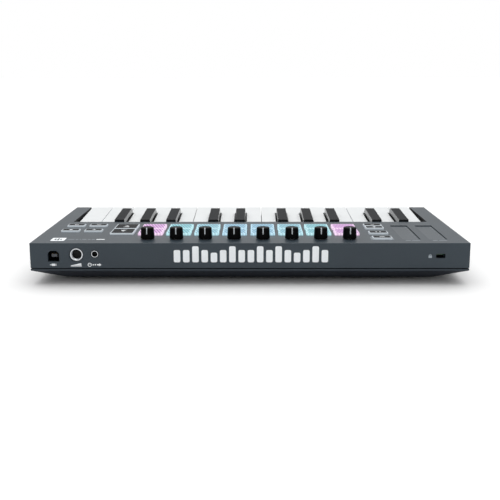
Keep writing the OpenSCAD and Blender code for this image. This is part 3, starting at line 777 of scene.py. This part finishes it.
def rear_prints():
    """A row of level-meter bars for the big mark, and a pictogram for each socket and for the lock slot."""
    m = MM
    heights = (9.4, 9.4, 12.3, 9.4, 7.4, 9.4, 12.3, 9.4, 9.4, 12.3, 9.4, 12.3, 9.4, 7.4, 9.4, 12.3, 9.4)
    left, right, foot, width = -58.6 * m, 57.0 * m, 17.3 * m, 4.9 * m
    pitch = (right - left - width) / (len(heights) - 1)
    bars = []
    for k, height in enumerate(heights):
        x = (k - (len(heights) - 1) / 2) * pitch
        bars += pill(x, foot + height * m / 2, width, height * m, 1.2 * m)
    printed("meter_mark", bars, on_rear((left + right) / 2, 0))

    label_z = 15.4 * m
    plug = bar(0, 0, 2.6 * m, 1.7 * m) + bar(-2.0 * m, 0, 1.2 * m, 0.5 * m)
    for prong in (0.45, -0.45):
        plug += bar(1.9 * m, prong * m, 0.8 * m, 0.4 * m)
    printed("usb_pictogram", plug, on_rear(147.4 * m, label_z))

    treadle = [(-3.8 * m, -0.4 * m), (3.8 * m, -0.4 * m), (3.8 * m, 1.1 * m), (2.9 * m, 1.1 * m)]
    pedal = pill(0, -0.9 * m, 8.4 * m, 0.6 * m) + [treadle]
    printed("pedal_pictogram", pedal, on_rear(130.3 * m, label_z))

    # A round socket with five pins, two dashes and an arrow out of it
    round_plug = arc_band(-3.6 * m, 0, 1.5 * m, 1.05 * m)
    for a in (20, 55, 90, 125, 160):
        round_plug += disc((-3.6 + 0.65 * math.cos(math.radians(a))) * m,
                           (-0.2 + 0.65 * math.sin(math.radians(a))) * m, 0.17 * m, 8)
    for x in (-0.9, 0.7):
        round_plug += bar(x * m, 0, 1.0 * m, 1.0 * m)
    arrow_tail = [(1.9 * m, -0.5 * m), (3.6 * m, -0.5 * m), (3.6 * m, 0.5 * m), (1.9 * m, 0.5 * m)]
    arrow_head = [(3.6 * m, -1.2 * m), (5.2 * m, 0), (3.6 * m, 1.2 * m), (3.6 * m, 0.5 * m),
                  (3.6 * m, -0.5 * m)]
    round_plug += [arrow_tail, arrow_head]
    printed("round_plug_pictogram", round_plug, on_rear(116.6 * m, label_z))

    shackle = arc_band(0, 0.4 * m, 0.95 * m, 0.6 * m, 0, 180, 12)
    lock = pill(0, -0.55 * m, 2.5 * m, 1.9 * m, 0.3 * m) + shackle
    printed("lock_pictogram", lock, on_rear(-135.0 * m, 22.1 * m), PRINT_PALE)


def jack(node, bore, ring_r, bore_r, reach, ring_finish, slot):
    """A jack socket: a rounded ferrule round its bore, and the body behind it that closes the bore's end."""
    low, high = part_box(node)
    lip, land, lead_in = 0.35 * MM, 0.7 * MM, 0.8 * MM
    lip_round = [(ring_r - lip + lip * math.cos(a), -lip + lip * math.sin(a)) for a in quarter_turn(4)[1:]]
    ferrule = bmesh.new()
    turn(ferrule, [(ring_r, -reach), (ring_r, -lip)] + lip_round
         + [(bore_r + land, 0), (bore_r, -lead_in), (bore_r, -reach)], on_rear(*bore, high.y), endless=True)
    make_piece(f"{node}_ferrule", ferrule, "case", slot, ring_finish, replaces=[node])
    throat = bmesh.new()
    slack = 0.2 * MM
    block(throat, high.x - low.x - slack, high.z - low.z - slack, 0.6 * MM,
          [(0, low.y - high.y), (0, -reach - 0.05 * MM)], on_rear(centre(node).x, centre(node).z, high.y))
    make_piece(f"{node}_body", throat, "case", slot, SOCKET_BLACK)


def sockets():
    """Both jacks, the bright rim round the small one, and the tongue and contacts of the square socket."""
    m = MM
    jack("sustain_jack", SUSTAIN_BORE, 4.9 * m, 3.3 * m, 4.2 * m, NICKEL, "jack_nickel")
    jack("midi_jack", MIDI_BORE, 3.0 * m, 1.85 * m, 3.6 * m, SOCKET_BLACK, "jack_plastic")

    rim = bmesh.new()
    slab(rim, arc_band(0, 0, 2.55 * m, 2.15 * m, steps=48), -0.2 * m, 0.08 * m, on_rear(*MIDI_BORE))
    make_piece("midi_jack_rim", rim, "case", "jack_plastic", NICKEL)

    tongue_front = REAR_Y - 3.2 * m
    tongue = bmesh.new()
    block(tongue, 4.4 * m, 2.3 * m, 0.3 * m, [(0, -11 * m), (0, -0.2 * m), (0.2 * m, 0)],
          on_rear(*USB_MOUTH, tongue_front))
    make_piece("usb_tongue", tongue, "case", "socket_shell", TONGUE_GREY)
    contacts = bmesh.new()
    mouth_x, mouth_z = USB_MOUTH
    for side in (-1, 1):
        for k in (-1, 1):
            block(contacts, 0.9 * m, 0.12 * m, 0.05 * m, [(0, -9 * m), (0, -1 * m)],
                  on_rear(mouth_x + k * 1.3 * m, mouth_z + side * 1.21 * m, tongue_front))
    make_piece("usb_contacts", contacts, "case", "socket_shell", GOLD)


# ---------------------------------------------------------------- underside and inside

def rubber_feet():
    """Four round feet, each with a soft lip round a shallow hollow."""
    m = MM
    low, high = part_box("feet")
    foot_r = 7 * m
    profile = [(0.5 * m, 0.25 * m), (foot_r - 0.9 * m, 0.25 * m), (foot_r - 0.5 * m, 0.0),
               (foot_r - 0.15 * m, 0.15 * m), (foot_r, 0.5 * m), (foot_r, high.z)]
    mesh = bmesh.new()
    for x in (low.x + foot_r, high.x - foot_r):
        for y in (low.y + foot_r, high.y - foot_r):
            turn(mesh, profile, Matrix.Translation((x, y, 0)))
    make_piece("rubber_feet", mesh, "case", "foot_rubber", FOOT_RUBBER, replaces=["feet"])


def inside_finishes():
    """Nodes that keep their own shape and take a real finish."""
    finishes = {
        "screws": STEEL, "key_chassis": CHASSIS_NYLON, "hinge_rod": ROD_STEEL, "key_felt": FELT,
        "key_pcb": BOARD, "main_pcb": BOARD, "socket_pcb": BOARD, "contact_mat": CONTACT_SILICONE,
        "pots": POT_BLUE, "usb_socket": SOCKET_BLACK,
    }
    for node, finish in finishes.items():
        data = frame["nodes"][node].data
        data.materials.clear()
        data.materials.append(finish)


# ---------------------------------------------------------------- studio

def floor():
    """A wide white sheet to stand on."""
    half = 45.0     # metres, so that its edge is never in view
    mesh = bmesh.new()
    corners = ((-half, -half), (half, -half), (half, half), (-half, half))
    mesh.faces.new([mesh.verts.new((x, y, 0)) for x, y in corners])
    data = bpy.data.meshes.new("floor")
    mesh.to_mesh(data)
    mesh.free()
    sheet = bpy.data.objects.new("floor", data)
    bpy.context.scene.collection.objects.link(sheet)

    # Matt white board: even, with no gloss, so that only the object's own shadow shows on it
    made, tree, place, shader = blank("matt_white_studio_board")
    mottle = add(tree, "ShaderNodeTexNoise", {"Vector": place}, {"Scale": 3.0, "Detail": 1.0})
    tone = add(tree, "ShaderNodeValToRGB", {"Fac": mottle.outputs["Fac"]},
               stops=[(0.3, linear("#f4f4f4")), (0.7, linear("#f6f6f6"))])
    tree.links.new(tone.outputs["Color"], shader.inputs["Base Color"])
    shader.inputs["Roughness"].default_value = 1.0
    shader.inputs["Specular IOR Level"].default_value = 0.0
    # It is clear from below, so that the underside can be looked at
    below = add(tree, "ShaderNodeNewGeometry").outputs["Backfacing"]
    clear = add(tree, "ShaderNodeBsdfTransparent")
    both = add(tree, "ShaderNodeMixShader", {0: below, 1: shader.outputs["BSDF"], 2: clear.outputs["BSDF"]})
    target = next(n for n in tree.nodes if n.type == "OUTPUT_MATERIAL")
    tree.links.new(both.outputs["Shader"], target.inputs["Surface"])
    data.materials.append(made)


def pale_room():
    """A white room, lit by a wide soft light high in front of the keys and a little more from the rear."""
    light_aim, light_strength = (0.0, -0.574, 0.819), 1.95
    light_edge = {"From Min": 0.5, "From Max": 0.9}      # by the cosine of the angle from its middle
    horizon_fade = {"From Min": 0.2, "From Max": 0.6}    # by height
    walls = {"From Min": -0.3, "From Max": 0.6, "To Min": 0.34, "To Max": 0.7}    # from front to rear
    white = (1, 1, 1, 1)
    world = bpy.data.worlds.new("pale_room")
    bpy.context.scene.world = world
    world.use_nodes = True
    tree = world.node_tree
    tree.nodes.clear()
    direction = add(tree, "ShaderNodeTexCoord").outputs["Generated"]
    aim = add(tree, "ShaderNodeVectorMath", {0: direction}, {1: light_aim}, operation="DOT_PRODUCT")
    soft = add(tree, "ShaderNodeMapRange", {"Value": aim.outputs["Value"]}, light_edge,
               interpolation_type="SMOOTHSTEP")
    split = add(tree, "ShaderNodeSeparateXYZ", {"Vector": direction})
    lift = add(tree, "ShaderNodeMapRange", {"Value": split.outputs["Z"]}, horizon_fade,
               interpolation_type="SMOOTHSTEP")
    rear = add(tree, "ShaderNodeMapRange", {"Value": split.outputs["Y"]}, walls,
               interpolation_type="SMOOTHSTEP")
    shape = add(tree, "ShaderNodeMath", {0: soft.outputs["Result"], 1: lift.outputs["Result"]},
                operation="MULTIPLY")
    lamp = add(tree, "ShaderNodeMath", {0: shape.outputs[0]}, {1: light_strength}, operation="MULTIPLY")
    room = add(tree, "ShaderNodeMath", {0: lamp.outputs[0], 1: rear.outputs["Result"]}, operation="ADD")
    light = add(tree, "ShaderNodeBackground", {"Strength": room.outputs[0]}, {"Color": white})
    backdrop = add(tree, "ShaderNodeBackground", values={"Color": white, "Strength": 1.0})
    seen = add(tree, "ShaderNodeLightPath").outputs["Is Camera Ray"]
    mixed = add(tree, "ShaderNodeMixShader", {0: seen, 1: light.outputs[0], 2: backdrop.outputs[0]})
    add(tree, "ShaderNodeOutputWorld", {"Surface": mixed.outputs[0]})


def camera():
    """Behind the instrument and a little above it, level, on a lens somewhat longer than normal."""
    pitch, yaw, roll = math.radians(11.955), math.radians(0.175), math.radians(-0.045)
    aside, behind, above = -1.965 * MM, 601.31 * MM, 122.05 * MM
    data = bpy.data.cameras.new("camera")
    data.sensor_width = 36.0
    data.lens = 59.2
    view = bpy.data.objects.new("camera", data)
    ahead = Vector((math.sin(yaw) * math.cos(pitch), -math.cos(yaw) * math.cos(pitch), -math.sin(pitch)))
    view.location = (aside, REAR_Y + behind, PANEL_Z + above)
    view.rotation_mode = "QUATERNION"
    tilt = Matrix.Rotation(roll, 3, "Z").to_quaternion()
    view.rotation_quaternion = ahead.to_track_quat("-Z", "Y") @ tilt
    bpy.context.scene.collection.objects.link(view)
    bpy.context.scene.camera = view


bpy.context.scene.view_settings.view_transform = "Standard"
camera()
floor()
pale_room()
upper_shell()
lower_shell()
white_keys()
black_keys()
knobs()
pads()
buttons()
touch_strips()
panel_prints()
rear_prints()
sockets()
rubber_feet()
inside_finishes()
